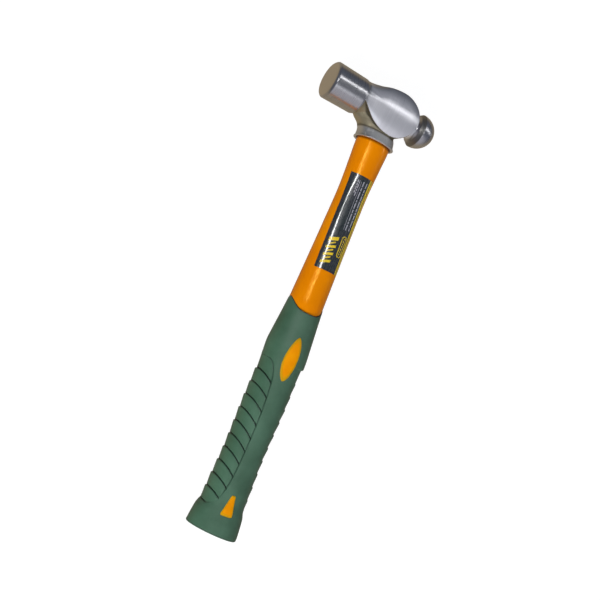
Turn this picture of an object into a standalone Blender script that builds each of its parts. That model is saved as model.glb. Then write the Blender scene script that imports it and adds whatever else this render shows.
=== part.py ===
"""Ball peen hammer: forged steel head, glass-fibre core, moulded jacket, soft grip.

The hammer lies on its side on a table. +X runs along the handle from the butt to the head,
+Y points the way the striking face looks, and +Z points up out of the labelled side.
The origin is the middle of the underside of the hammer's box.

Shapes are drawn in hammer coordinates and moved to that frame by place():
u is the distance from the butt, v is the reach towards the striking face from the handle's
own axis, and w is the height above the handle's middle plane.
"""

import math

import bmesh
import bpy
from mathutils import Vector
from mathutils.geometry import interpolate_bezier

MM = 0.001
GAP = 0.3 * MM  # clearance kept between neighbouring solids

# ---- driving dimensions ------------------------------------------------------------------
OVERALL_LENGTH = 344 * MM
FACE_REACH = 52.2 * MM  # handle axis to striking face
PEEN_REACH = 42.6 * MM  # handle axis to the tip of the ball
HALF_DEPTH = 14.4 * MM  # middle plane to the cheek, which the hammer lies on
BUTT_HALF_DEPTH = 14.2 * MM

POLL_RADIUS = 14.0 * MM
POLL_REAR_RADIUS = 13.6 * MM
POLL_REAR_REACH = 26.0 * MM
POLL_NECK_RADIUS = 11.9 * MM
FACE_FLAT_RADIUS = 9.0 * MM
FACE_CROWN = 0.3 * MM
FACE_CHAMFER = 1.5 * MM
FACE_CHAMFER_REACH = 1.7 * MM

CHEEK_RADIUS = 16.7 * MM
CHEEK_DROP = 17.1 * MM  # how far the cheek reaches below the head's axis
CHEEK_CENTRE_V = -4.7 * MM
CHEEK_FALL_RADIUS = 33 * MM  # how fast the cheek curves away from the head's axis
CHEEK_CROWN_RADIUS = 400 * MM  # and how little it curves along it
CHEEK_LOWER_FULLNESS = 0.6  # 1 makes the cheek's lower half meet the poll as round as its upper half
HEAD_AXIS_U = OVERALL_LENGTH - CHEEK_RADIUS

BALL_RADIUS = 13.0 * MM
BALL_CREASE_REACH = 29.1 * MM
BALL_NECK_RADIUS = 8.2 * MM

SKIRT_DEPTH = 25.5 * MM  # head axis to the skirt's rim
SKIRT_HALF_LENGTH = 15.2 * MM
SKIRT_HALF_WIDTH = 12.5 * MM
RIM_BEAD = 0.45 * MM
EYE_SHOULDER_U = HEAD_AXIS_U - 22.3 * MM  # where the eye starts to narrow towards the rod
EYE_SHOULDER = 7 * MM

JACKET_TOP_U = 306 * MM
JACKET_BOTTOM_U = 10 * MM
JACKET_CORE = (11.2 * MM, 8.9 * MM)  # half sizes of the jacket under the grip
ROD = (7.6 * MM, 5.9 * MM)  # half sizes of the glass-fibre rod
ROD_BOTTOM_U = 14 * MM
RESIN_TOP_U = 341 * MM
RESIN_BOTTOM_U = JACKET_TOP_U + GAP

GRIP_TOP_U = 176 * MM  # where the grip's edge meets the sides of the handle
GRIP_TOP_SCOOP = 7.9 * MM  # how much lower that edge is on the front and the back
GROOVE_TOP_U = 119.3 * MM
GROOVE_PITCH = 9.9 * MM
GROOVE_COUNT = 10
GROOVE_SLANT = 13.4 * MM
GROOVE_DEPTH = 0.8 * MM
GROOVE_HALF_WIDTH = 0.6 * MM
SCALE_STEP = 0.3 * MM  # how far each ridge stands proud at its head end
BAND_HALF_ANGLE = math.radians(18)  # smooth strip along the middle of front and back
BAND_MIDDLE_U = 74.5 * MM
BAND_HALF_LENGTH = 55 * MM

INLAY_THICKNESS = 2.0 * MM
INLAY_PROUD = 0.15 * MM
THUMB_INLAY = (116.9 * MM, 150.1 * MM, 5.8 * MM)  # butt end, head end, half width
BUTT_INLAY = (15.6 * MM, 31.0 * MM, 5.0 * MM)
BUTT_INLAY_TIP = 1.0 * MM
BUTT_INLAY_CORNER = 1.3 * MM

LABEL_ENDS = (201.5 * MM, 275.0 * MM)
LABEL_ANGLES = (math.radians(-50), math.radians(51))
LABEL_THICKNESS = 0.3 * MM

HANDLE_SEGMENTS = 40
TURNED_SEGMENTS = 48

# Half length (along v) of the handle's section at its key stations from the butt.
SHAFT_STATIONS = ((306, 13.3), (298, 13.3), (286, 12.6), (263, 11.6), (236, 12.0), (200, 12.9), (165, 13.9))
GRIP_STATIONS = (
    (177, 13.65), (163, 14.8), (149, 16.1), (141, 16.7), (131, 16.1), (120, 15.9), (98, 16.1),
    (60, 15.4), (36, 16.2), (21, 16.8), (15.5, 18.6), (3, 20.3), (0, 20.4),
)
SHAFT_FLATNESS = 0.80  # the section's half width over its half length
GRIP_FLATNESS = 0.84

COLOURS = {
    "forged_steel": ((0.42, 0.42, 0.45), 0.32, 1.0),
    "glass_fibre": ((0.72, 0.66, 0.40), 0.45, 0.0),
    "epoxy": ((0.16, 0.10, 0.05), 0.30, 0.0),
    "orange_plastic": ((0.78, 0.25, 0.01), 0.28, 0.0),
    "green_rubber": ((0.06, 0.14, 0.09), 0.70, 0.0),
    "inlay_plastic": ((0.83, 0.29, 0.01), 0.40, 0.0),
    "label_film": ((0.02, 0.03, 0.03), 0.20, 0.0),
}


# ---- shared helpers ----------------------------------------------------------------------
def place(u, v, w):
    """Hammer coordinates to the frame's coordinates."""
    return Vector((u - OVERALL_LENGTH / 2, v - (FACE_REACH - PEEN_REACH) / 2, w + HALF_DEPTH))


def smoothstep(t):
    t = min(max(t, 0.0), 1.0)
    return t * t * (3 - 2 * t)


def through(stations, u):
    """Smooth curve through (u, value) pairs given in mm, from the head end to the butt end."""
    points = sorted((a * MM, b * MM) for a, b in stations)
    u = min(max(u, points[0][0]), points[-1][0])
    i = next(i for i in range(len(points) - 1) if u <= points[i + 1][0])
    (u0, f0), (u1, f1) = points[i], points[i + 1]
    span = u1 - u0

    def slope(k):
        low, high = points[max(k - 1, 0)], points[min(k + 1, len(points) - 1)]
        return (high[1] - low[1]) / (high[0] - low[0])

    t = (u - u0) / span
    return (
        f0 * (1 + 2 * t) * (1 - t) ** 2
        + slope(i) * span * t * (1 - t) ** 2
        + f1 * t * t * (3 - 2 * t)
        - slope(i + 1) * span * t * t * (1 - t)
    )


def angles(count):
    return [2 * math.pi * k / count for k in range(count)]


def material(name):
    colour, roughness, metallic = COLOURS[name]
    made = bpy.data.materials.get(name) or bpy.data.materials.new(name)
    made.use_nodes = True
    shader = made.node_tree.nodes["Principled BSDF"]
    shader.inputs["Base Color"].default_value = (*colour, 1.0)
    shader.inputs["Roughness"].default_value = roughness
    shader.inputs["Metallic"].default_value = metallic
    made.diffuse_color = (*colour, 1.0)
    return made


def skin(name, rings):
    """A closed solid whose surface passes through the rings in turn, with both ends capped."""
    bm = bmesh.new()
    loops = [[bm.verts.new(p) for p in ring] for ring in rings]
    count = len(rings[0])
    for low, high in zip(loops, loops[1:]):
        for k in range(count):
            n = (k + 1) % count
            bm.faces.new((low[k], low[n], high[n], high[k]))
    bm.faces.new(reversed(loops[0]))
    bm.faces.new(loops[-1])
    bmesh.ops.recalc_face_normals(bm, faces=bm.faces)
    mesh = bpy.data.meshes.new(name)
    bm.to_mesh(mesh)
    bm.free()
    made = bpy.data.objects.new(name, mesh)
    bpy.context.scene.collection.objects.link(made)
    return made


def combine(body, other, operation):
    """Joins the other solid to the body, or cuts it out of the body, and removes it."""
    step = body.modifiers.new(operation.lower(), "BOOLEAN")
    step.operation = operation
    step.solver = "EXACT"
    step.object = other
    graph = bpy.context.evaluated_depsgraph_get()
    result = bpy.data.meshes.new_from_object(body.evaluated_get(graph))
    body.modifiers.clear()
    body.data = result
    bpy.data.objects.remove(other)
    return body


def finish(made, material_name):
    """Gives a solid its material and smooth shading with crisp edges."""
    made.data.materials.clear()
    made.data.materials.append(material(material_name))
    made.data.shade_smooth()
    made.data.set_sharp_from_angle(angle=math.radians(32))
    return made


def oval_ring(u, half_length, half_width, count=HANDLE_SEGMENTS, centre_v=0.0, power=2.0):
    """A flat ring across the handle. Angle 0 is the front (+w) and 90 degrees the face side (+v)."""
    ring = []
    for a in angles(count):
        s, c = math.sin(a), math.cos(a)
        v = math.copysign(abs(s) ** (2 / power), s) * half_length
        w = math.copysign(abs(c) ** (2 / power), c) * half_width
        ring.append(place(u, centre_v + v, w))
    return ring


def turned(name, profile):
    """A solid of revolution about the head's axis from (reach, radius) pairs."""
    rings = [
        [place(HEAD_AXIS_U + r * math.sin(a), v, r * math.cos(a)) for a in angles(TURNED_SEGMENTS)]
        for v, r in profile
    ]
    return skin(name, rings)


# ---- the handle's outer shape ------------------------------------------------------------
def shaft_half_length(u):
    return through(SHAFT_STATIONS, u)


def grip_half_sizes(u):
    """Half length and half width of the grip's section before its ridges."""
    length = through(GRIP_STATIONS, u)
    return length, min(length * GRIP_FLATNESS, BUTT_HALF_DEPTH)


def side_angle(a):
    """Angle from the nearer of front and back: 0 there and 90 degrees at the sides."""
    return math.pi / 2 - abs(math.pi / 2 - abs(math.remainder(a, 2 * math.pi)))


def edge_scoop(a):
    return GRIP_TOP_SCOOP * (1 - abs(math.sin(a)) ** 3.5)


def groove_drop(a):
    """How much further towards the butt a groove is than where it crosses the side."""
    return GROOVE_SLANT * (1 - side_angle(a) / (math.pi / 2)) ** 2.25


def band_edge(u):
    """Side angle at which the ridges stop and the smooth front or back strip begins."""
    x = min(abs(u - BAND_MIDDLE_U) / BAND_HALF_LENGTH, 1.0)
    return math.pi / 2 - (math.pi / 2 - BAND_HALF_ANGLE) * (1 - x**2.5) ** 0.2


def ridge_height(u, a):
    """Height of the saw-tooth ridges and their grooves over the grip's plain surface."""
    cover = smoothstep((side_angle(a) - band_edge(u)) / math.radians(8))
    run = (GROOVE_TOP_U - u - groove_drop(a)) / GROOVE_PITCH
    nearest = min(max(round(run), 0), GROOVE_COUNT)
    off = abs(run - nearest) * GROOVE_PITCH
    groove = max(1 - off / GROOVE_HALF_WIDTH, 0.0)
    share = run - math.floor(run)
    proud = SCALE_STEP * (1 - 2 * share) if -1 < run < GROOVE_COUNT else 0.0
    return cover * (proud - GROOVE_DEPTH * groove)


def grip_point(u, a, inset=0.0):
    length, width = grip_half_sizes(u)
    v, w = length * math.sin(a), width * math.cos(a)
    out = Vector((0, math.sin(a) / length, math.cos(a) / width)).normalized()
    lift = ridge_height(u, a) - inset
    return place(u, v + out.y * lift, w + out.z * lift)


# ---- the head ----------------------------------------------------------------------------
def cheek_outline():
    """Outline of the cheeks seen from the side, as (height over the head's axis, v)."""
    mm = [Vector((x * MM, y * MM, 0)) for x, y in ((16.7, 5), (12.8, 13), (11.6, 24), (-3, 26), (-10, 17))]
    top = Vector((CHEEK_RADIUS, CHEEK_CENTRE_V, 0))
    bottom = Vector((-CHEEK_DROP, CHEEK_CENTRE_V, 0))
    low_handle = Vector((-CHEEK_DROP, 11 * MM, 0))
    upper_flank = interpolate_bezier(top, mm[0], mm[1], mm[2], 12)[:-1]
    lower_flank = interpolate_bezier(mm[3], mm[4], low_handle, bottom, 14)[:-1]
    nose = [mm[2], Vector((9.3 * MM, 27 * MM, 0)), Vector((1 * MM, 27 * MM, 0))]
    disc = []
    for k in range(22):
        a = math.pi * k / 22
        height = CHEEK_DROP if math.cos(a) > 0 else CHEEK_RADIUS
        disc.append(Vector((-height * math.cos(a), CHEEK_CENTRE_V - CHEEK_RADIUS * math.sin(a), 0)))
    return [(p.x, p.y) for p in upper_flank + nose + lower_flank + disc]


def cheek_half_thickness(p, v):
    """Half thickness of the head at height p over its axis: a shallow barrel that runs into
    the round neck behind the poll."""
    along = v - CHEEK_CENTRE_V
    barrel = HALF_DEPTH - p * p / (2 * CHEEK_FALL_RADIUS) - along * along / (2 * CHEEK_CROWN_RADIUS)
    fall = p * p if p > 0 else CHEEK_LOWER_FULLNESS * p * p
    neck = math.sqrt(max((POLL_REAR_RADIUS - GAP) ** 2 - fall, 0.0))
    blend = smoothstep((v - 6 * MM) / (20 * MM))
    return barrel * (1 - blend) + neck * blend


def make_cheeks():
    outline = cheek_outline()
    middle = (0.0, -2 * MM)

    def ring(share, side):
        made = []
        for p, v in outline:
            q = middle[0] + (p - middle[0]) * share
            r = middle[1] + (v - middle[1]) * share
            made.append(place(HEAD_AXIS_U + q, r, side * cheek_half_thickness(q, r)))
        return made

    shares = (0.08, 0.35, 0.65, 0.88, 1.0)
    rings = [ring(s, 1) for s in shares] + [ring(s, -1) for s in reversed(shares)]
    return skin("head", rings)


def make_poll():
    profile = [
        (8 * MM, POLL_NECK_RADIUS - 0.3 * MM),
        (20 * MM, POLL_NECK_RADIUS),
        (22.8 * MM, POLL_NECK_RADIUS + 0.1 * MM),
        (24.8 * MM, POLL_REAR_RADIUS - 0.5 * MM),
        (POLL_REAR_REACH, POLL_REAR_RADIUS),
        (FACE_REACH - FACE_CROWN - FACE_CHAMFER_REACH, POLL_RADIUS),
        (FACE_REACH - FACE_CROWN, POLL_RADIUS - FACE_CHAMFER),
        (FACE_REACH - FACE_CROWN * 0.3, POLL_RADIUS - 3 * MM),
        (FACE_REACH, FACE_FLAT_RADIUS),
    ]
    return turned("poll", profile)


def make_ball():
    crease = -BALL_CREASE_REACH
    depth = PEEN_REACH - BALL_CREASE_REACH
    profile = [
        (-12 * MM, BALL_NECK_RADIUS - 0.3 * MM),
        (-22.8 * MM, BALL_NECK_RADIUS),
        (-24.8 * MM, BALL_NECK_RADIUS + 1.2 * MM),
        (-25.8 * MM, BALL_RADIUS - 1.45 * MM),
        (crease, BALL_RADIUS),
    ]
    for k in range(1, 9):
        a = math.radians(10.6) * k
        profile.append((crease - depth * math.sin(a), BALL_RADIUS * math.cos(a)))
    profile.append((-PEEN_REACH, BALL_RADIUS * 0.03))
    return turned("ball", profile)


def skirt_sections():
    """The skirt and the web above it: (depth under the head's axis, low v, high v, half width)."""
    return (
        (-2, -14, 25.6, 11.0),
        (-9, -13.6, 25.4, 10.5),
        (-13, -13.3, 23.7, 9.9),
        (-16.5, -13.8, 18.3, 9.9),
        (-19.5, -14.3, 15.7, 10.9),
        (-24.1, -14.9, 15.1, 12.3),
    )


def make_skirt():
    """The sections grow squarer from the web, which is nearly a wedge, to the skirt."""
    rings = []
    for depth, low, high, width in skirt_sections():
        centre, length = (low + high) / 2 * MM, (high - low) / 2 * MM
        power = 1.7 + 0.6 * smoothstep((-14 - depth) / 6)
        u = HEAD_AXIS_U + depth * MM
        rings.append(oval_ring(u, length, width * MM, TURNED_SEGMENTS, centre, power))
    rim_u = HEAD_AXIS_U - SKIRT_DEPTH
    for rise, bead in ((1.1 * MM, RIM_BEAD), (0.3 * MM, RIM_BEAD), (0.0, 0.1 * MM)):
        length, width = SKIRT_HALF_LENGTH + bead, SKIRT_HALF_WIDTH + bead
        rings.append(oval_ring(rim_u + rise, length, width, TURNED_SEGMENTS, 0.0, 2.3))
    return skin("skirt", rings)


def eye_half_sizes(u):
    """Half length and half width of the eye: wide in the skirt, then tight round the rod."""
    share = smoothstep((u - EYE_SHOULDER_U) / EYE_SHOULDER)
    return (13.75 - 4.2 * share) * MM, (11.15 - 4.1 * share) * MM


def eye_stations(low, high):
    """Heights of the eye's rings between two ends, close together where the eye narrows."""
    shoulder = [EYE_SHOULDER_U + EYE_SHOULDER * k / 5 for k in range(6)]
    return [low] + [u for u in shoulder if u > low + 0.1 * MM] + [high]


def eye_rings(stations, inset):
    return [
        oval_ring(u, *(half - inset for half in eye_half_sizes(u)), count=HANDLE_SEGMENTS)
        for u in stations
    ]


def make_head():
    head = make_cheeks()
    for other in (make_poll(), make_ball(), make_skirt()):
        combine(head, other, "UNION")
    stations = eye_stations(HEAD_AXIS_U - SKIRT_DEPTH - 1 * MM, OVERALL_LENGTH + 1 * MM)
    combine(head, skin("eye", eye_rings(stations, 0.0)), "DIFFERENCE")
    return finish(head, "forged_steel")


# ---- what fills the eye and runs down the handle -------------------------------------------
def make_core_rod():
    rings = [oval_ring(u, *ROD) for u in (ROD_BOTTOM_U, RESIN_TOP_U)]
    return finish(skin("core_rod", rings), "glass_fibre")


def make_eye_resin():
    """Epoxy cast between the rod and the wall of the eye."""
    bottom = RESIN_BOTTOM_U
    resin = skin("eye_resin", eye_rings(eye_stations(bottom, RESIN_TOP_U), GAP))
    hole = [half + GAP for half in ROD]
    bore = skin("resin_bore", [oval_ring(u, *hole) for u in (bottom - 1 * MM, RESIN_TOP_U + 1 * MM)])
    return finish(combine(resin, bore, "DIFFERENCE"), "epoxy")


def make_handle_jacket():
    """Orange moulding over the rod, rebated where the grip goes over it."""

    def outer_ring(u_at, shrink=None):
        ring = []
        for a in angles(HANDLE_SEGMENTS):
            u = u_at(a)
            length = shaft_half_length(u)
            half = shrink or (length, length * SHAFT_FLATNESS)
            ring.append(place(u, half[0] * math.sin(a), half[1] * math.cos(a)))
        return ring

    def shoulder(a):
        return GRIP_TOP_U - edge_scoop(a) + GAP / 2

    bore = [half + GAP for half in ROD]
    bore_bottom = ROD_BOTTOM_U - GAP
    rings = [
        oval_ring(JACKET_BOTTOM_U, *JACKET_CORE),
        oval_ring(GRIP_TOP_U - 20 * MM, *JACKET_CORE),
        outer_ring(shoulder, JACKET_CORE),
        outer_ring(shoulder),
    ]
    for u in (188, 200, 218, 236, 250, 263, 275, 286, 292, 298, 305.4):
        rings.append(outer_ring(lambda a, u=u: u * MM))
    top = [half - 0.5 * MM for half in (13.3 * MM, 13.3 * MM * SHAFT_FLATNESS)]
    rings.append(oval_ring(JACKET_TOP_U, *top))
    rings.append(oval_ring(JACKET_TOP_U, *bore))
    rings.append(oval_ring(bore_bottom, *bore))
    return finish(skin("handle_jacket", rings), "orange_plastic")


# ---- the grip ------------------------------------------------------------------------------
def grip_rings():
    """Rings of the grip's outside from the butt to its upper edge. They lean with the grooves."""

    def leaning(side_u, slant):
        lean = slant / GROOVE_SLANT
        return [grip_point(side_u - lean * groove_drop(a), a) for a in angles(HANDLE_SEGMENTS)]

    rings = []
    length, width = grip_half_sizes(0)
    for u, share in ((0.0, 0.80), (0.45 * MM, 0.92), (1.6 * MM, 0.985)):
        rings.append(oval_ring(u, length * share, width * share))
    for side_u, slant in ((3.2, 0), (8, 0), (13.6, 3.4), (16.5, 5.2), (19.5, 7.0)):
        rings.append(leaning(side_u * MM, slant * MM))
    for k in reversed(range(GROOVE_COUNT)):
        groove_u = GROOVE_TOP_U - k * GROOVE_PITCH
        for off in (-GROOVE_HALF_WIDTH, 0.0, GROOVE_HALF_WIDTH):
            rings.append(leaning(groove_u + off, GROOVE_SLANT))
    rings.append(leaning(129.5 * MM, GROOVE_SLANT))
    for side_u in (140, 149, 157, 166, 175.2):
        rings.append([grip_point(side_u * MM - edge_scoop(a), a) for a in angles(HANDLE_SEGMENTS)])
    edge_u = GRIP_TOP_U - GAP / 2
    rings.append([grip_point(edge_u - edge_scoop(a), a, 0.35 * MM) for a in angles(HANDLE_SEGMENTS)])
    return rings


def inlay_outline(kind, grow):
    """Outline of an inlay as (u, v) points, grown outwards by the given margin."""
    if kind == "thumb":
        low, high, half = THUMB_INLAY
        middle, reach = (low + high) / 2, (high - low) / 2
        outline = []
        for a in angles(28):
            lens = abs(math.sin(a)) ** 1.35 * math.copysign(1, math.sin(a))
            outline.append((middle + (reach + grow) * math.cos(a), (half + grow) * lens))
        return outline
    low, high, half = BUTT_INLAY
    corners = ((low, -half), (high, -BUTT_INLAY_TIP), (high, BUTT_INLAY_TIP), (low, half))
    radii = (BUTT_INLAY_CORNER, BUTT_INLAY_TIP * 0.8, BUTT_INLAY_TIP * 0.8, BUTT_INLAY_CORNER)
    outline = []
    for k, (corner, radius) in enumerate(zip(corners, radii)):
        here = Vector(corner)
        before = (Vector(corners[k - 1]) - here).normalized()
        after = (Vector(corners[(k + 1) % 4]) - here).normalized()
        half_angle = before.angle(after) / 2
        centre = here + (before + after).normalized() * (radius / math.sin(half_angle))
        start = here + before * (radius / math.tan(half_angle)) - centre
        end = here + after * (radius / math.tan(half_angle)) - centre
        for j in range(5):
            aim = start.lerp(end, j / 4).normalized()
            outline.append(tuple(centre + aim * (radius + grow)))
    return outline


def inlay_solid(name, kind, side, proud, depth, grow):
    """A curved tile that follows the grip's surface between two heights over it."""
    outline = inlay_outline(kind, grow)
    centre = Vector((sum(u for u, _ in outline), sum(v for _, v in outline))) / len(outline)

    def ring(share, lift):
        made = []
        for point in outline:
            u, v = centre.lerp(Vector(point), share)
            length, width = grip_half_sizes(u)
            made.append(place(u, v, side * (width * math.sqrt(1 - (v / length) ** 2) + lift)))
        return made

    steps = ((0.1, proud), (0.55, proud), (1, proud), (1, -depth), (0.1, -depth))
    return skin(name, [ring(share, lift) for share, lift in steps])


def make_grip():
    inner = [half + GAP for half in JACKET_CORE]
    rings = grip_rings()
    rings.append([
        place(GRIP_TOP_U - edge_scoop(a) - GAP / 2, inner[0] * math.sin(a), inner[1] * math.cos(a))
        for a in angles(HANDLE_SEGMENTS)
    ])
    rings.append(oval_ring(GRIP_TOP_U - 20 * MM, *inner))
    rings.append(oval_ring(JACKET_BOTTOM_U - GAP, *inner))
    grip = skin("grip", rings)
    for kind in ("thumb", "butt"):
        for side in (1, -1):
            pocket = inlay_solid("pocket", kind, side, 3 * MM, INLAY_THICKNESS + GAP, GAP)
            combine(grip, pocket, "DIFFERENCE")
    return finish(grip, "green_rubber")


def make_inlays():
    for kind in ("thumb", "butt"):
        for side, where in ((1, "front"), (-1, "back")):
            tile = inlay_solid(f"{kind}_inlay_{where}", kind, side, INLAY_PROUD, INLAY_THICKNESS, 0.0)
            finish(tile, "inlay_plastic")


# ---- the label -----------------------------------------------------------------------------
def make_label():
    """A printed film wrapped round the front of the shaft."""
    low, high = LABEL_ENDS
    first, last = LABEL_ANGLES
    steps = 12

    def section(u):
        length = shaft_half_length(u)
        width = length * SHAFT_FLATNESS
        outside, inside = [], []
        for k in range(steps + 1):
            a = first + (last - first) * k / steps
            out = Vector((0, math.sin(a) / length, math.cos(a) / width)).normalized()
            base = Vector((u, length * math.sin(a), width * math.cos(a)))
            outside.append(place(*(base + out * (GAP + LABEL_THICKNESS))))
            inside.append(place(*(base + out * GAP)))
        return outside + inside[::-1]

    rings = [section(low + (high - low) * k / 6) for k in range(7)]
    return finish(skin("label", rings), "label_film")


def main():
    for existing in list(bpy.data.objects):
        bpy.data.objects.remove(existing)
    make_head()
    make_core_rod()
    make_eye_resin()
    make_handle_jacket()
    make_grip()
    make_inlays()
    make_label()


main()
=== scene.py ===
"""Looks of the ball peen hammer: fine meshes, materials, floor, light and camera.

Shapes are drawn in hammer coordinates: u is the distance from the butt, v the reach towards the
striking face from the handle's axis, and w the height above the handle's middle plane. place()
moves them to the frame, where +X is u, +Y is v and +Z is w.
"""

import math

import bpy
import numpy as np
from mathutils import Matrix, Vector, noise


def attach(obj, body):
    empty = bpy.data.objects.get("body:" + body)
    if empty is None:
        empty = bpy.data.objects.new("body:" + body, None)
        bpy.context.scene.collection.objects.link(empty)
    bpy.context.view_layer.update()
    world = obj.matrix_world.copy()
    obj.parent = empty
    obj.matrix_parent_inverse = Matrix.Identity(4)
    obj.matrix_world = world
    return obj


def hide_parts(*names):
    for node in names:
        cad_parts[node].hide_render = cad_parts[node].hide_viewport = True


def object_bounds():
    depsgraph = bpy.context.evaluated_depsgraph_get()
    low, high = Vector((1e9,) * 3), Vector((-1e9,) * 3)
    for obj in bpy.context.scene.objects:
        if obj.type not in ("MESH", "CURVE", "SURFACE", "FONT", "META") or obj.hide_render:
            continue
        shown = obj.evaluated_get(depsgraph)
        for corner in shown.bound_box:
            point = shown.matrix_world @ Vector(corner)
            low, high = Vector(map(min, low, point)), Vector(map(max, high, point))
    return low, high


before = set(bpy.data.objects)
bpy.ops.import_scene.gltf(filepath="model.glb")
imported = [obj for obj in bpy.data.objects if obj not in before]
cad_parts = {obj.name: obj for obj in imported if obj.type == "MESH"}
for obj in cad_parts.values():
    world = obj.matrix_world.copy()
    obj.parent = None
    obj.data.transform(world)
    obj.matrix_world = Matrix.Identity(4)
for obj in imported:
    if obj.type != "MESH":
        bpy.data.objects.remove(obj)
cad_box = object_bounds()

MM = 0.001
BODY = "root"

# ---- sizes, all in metres ------------------------------------------------------------------
FACE_REACH = 52.2 * MM
PEEN_REACH = 42.6 * MM
OVERALL_LENGTH = cad_box[1].x - cad_box[0].x
HALF_DEPTH = (cad_box[1].z - cad_box[0].z) / 2
BUTT_HALF_DEPTH = 14.2 * MM

FACE_FLAT_RADIUS = 9 * MM
FACE_CROWN = 0.3 * MM  # how far the face's middle stands over its edge
FACE_CROWN_WIDTH = 3.5 * MM
POLL_RADIUS = 14.0 * MM
POLL_REAR_RADIUS = 13.6 * MM
POLL_REAR_REACH = 26.0 * MM
POLL_NECK_RADIUS = 11.9 * MM
CHEEK_RADIUS = 16.7 * MM
CHEEK_DROP = 17.1 * MM
CHEEK_CENTRE_V = -4.7 * MM
CHEEK_FALL_RADIUS = 33 * MM
CHEEK_CROWN_RADIUS = 400 * MM
CHEEK_LOWER_FULLNESS = 0.6  # share of the poll's roundness that the cheeks take on under its axis
CHEEK_FAN_CENTRE = (0.0, -2 * MM)  # height and v where the cheeks' rings shrink to
CHEEK_GROUND_SHARE = 0.985  # share of the way out to the outline where the ground surface ends
OUTLINE_STEPS = 60
SKIRT_TOP = -17.9 * MM  # where the web turns into the skirt, from the head's axis
HEAD_AXIS_U = OVERALL_LENGTH - CHEEK_RADIUS
BALL_RADIUS = 13.0 * MM
BALL_CREASE_REACH = 28.7 * MM
BALL_NECK_RADIUS = 8.2 * MM
SKIRT_DEPTH = 25.5 * MM
SKIRT_HALF_LENGTH = 15.2 * MM
SKIRT_HALF_WIDTH = 12.5 * MM
RIM_BEAD = 0.55 * MM
HEAD_VOXEL = 0.3 * MM

JACKET_TOP_U = 306 * MM
JACKET_CORE = (11.2 * MM, 8.9 * MM)
GRIP_TOP_U = 176 * MM
GRIP_TOP_SCOOP = 7.9 * MM
GROOVE_TOP_U = 119.3 * MM
GROOVE_PITCH = 9.9 * MM
GROOVE_COUNT = 10
GROOVE_SLANT = 13.4 * MM
GROOVE_CURVE = 2.25
GROOVE_DEPTH = 0.75 * MM
GROOVE_HALF_WIDTH = 0.33 * MM
BORDER_DEPTH = 0.45 * MM
BORDER_HALF_WIDTH = 0.30 * MM
RIDGE_RISE = 0.42 * MM
GRIP_END_RADIUS = 1.3 * MM
GRIP_RING_POINTS = 288
BAND_HALF_ANGLE = math.radians(18)
BALL_SIDE_HALF_ANGLE = math.radians(56)
BAND_MIDDLE_U = 74.5 * MM
BAND_HALF_LENGTH = 55 * MM

# u and half length across the handle, in mm
SHAFT_STATIONS = (
    (306, 13.3), (298, 13.3), (286, 12.6), (263, 11.6), (236, 12.0), (200, 12.9), (165, 13.9),
)
GRIP_STATIONS = (
    (177, 13.65), (163, 14.8), (149, 16.1), (141, 16.7), (131, 16.1), (120, 15.9), (98, 16.1),
    (60, 15.4), (36, 16.2), (21, 16.8), (15.5, 18.6), (3, 20.3), (0, 20.4),
)
SHAFT_FLATNESS = 0.80
GRIP_FLATNESS = 0.84

THUMB_INLAY = (116.9 * MM, 150.1 * MM, 5.5 * MM)  # butt end, head end, half width
BUTT_INLAY = (15.6 * MM, 31.0 * MM, 5.0 * MM)
BUTT_INLAY_TIP = 1.45 * MM
INLAY_PROUD = {"thumb": 0.12, "butt": 0.05}  # height over the grip, in mm


# ---- mesh helpers --------------------------------------------------------------------------
def place(u, v, w):
    """Hammer coordinates, as numbers or arrays, to points in the frame."""
    x = np.asarray(u, float) + cad_box[0].x
    y = np.asarray(v, float) + cad_box[1].y - FACE_REACH
    z = np.asarray(w, float) + (cad_box[0].z + cad_box[1].z) / 2
    return np.stack(np.broadcast_arrays(x, y, z), axis=-1)


def hammer_coordinates(points):
    """Points in the frame back to u, v and w."""
    return (
        points[..., 0] - cad_box[0].x,
        points[..., 1] - cad_box[1].y + FACE_REACH,
        points[..., 2] - (cad_box[0].z + cad_box[1].z) / 2,
    )


def smoothstep(t):
    """Rises smoothly from 0 to 1 as t goes from 0 to 1."""
    t = np.clip(t, 0.0, 1.0)
    return t * t * (3 - 2 * t)


def through(stations, u):
    """Smooth curve through (u, value) pairs in mm, for an array of u in metres."""
    points = np.array(sorted(stations), float) * MM
    x, y = points[:, 0], points[:, 1]
    slopes = np.gradient(y, x)
    slopes[1:-1] = (y[2:] - y[:-2]) / (x[2:] - x[:-2])
    u = np.clip(np.asarray(u, float), x[0], x[-1])
    i = np.clip(np.searchsorted(x, u) - 1, 0, len(x) - 2)
    span = x[i + 1] - x[i]
    t = (u - x[i]) / span
    return (
        y[i] * (1 + 2 * t) * (1 - t) ** 2
        + slopes[i] * span * t * (1 - t) ** 2
        + y[i + 1] * t * t * (3 - 2 * t)
        - slopes[i + 1] * span * t * t * (1 - t)
    )


def add_object(name, data):
    made = bpy.data.objects.new(name, data)
    bpy.context.scene.collection.objects.link(made)
    return made


def mesh_volume(points, faces):
    """Signed volume of a closed mesh, positive when its faces point out."""
    total = 0.0
    for k in range(1, faces.shape[1] - 1):
        a, b, c = points[faces[:, 0]], points[faces[:, k]], points[faces[:, k + 1]]
        total += np.einsum("ij,ij->i", a, np.cross(b, c)).sum()
    return total


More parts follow.
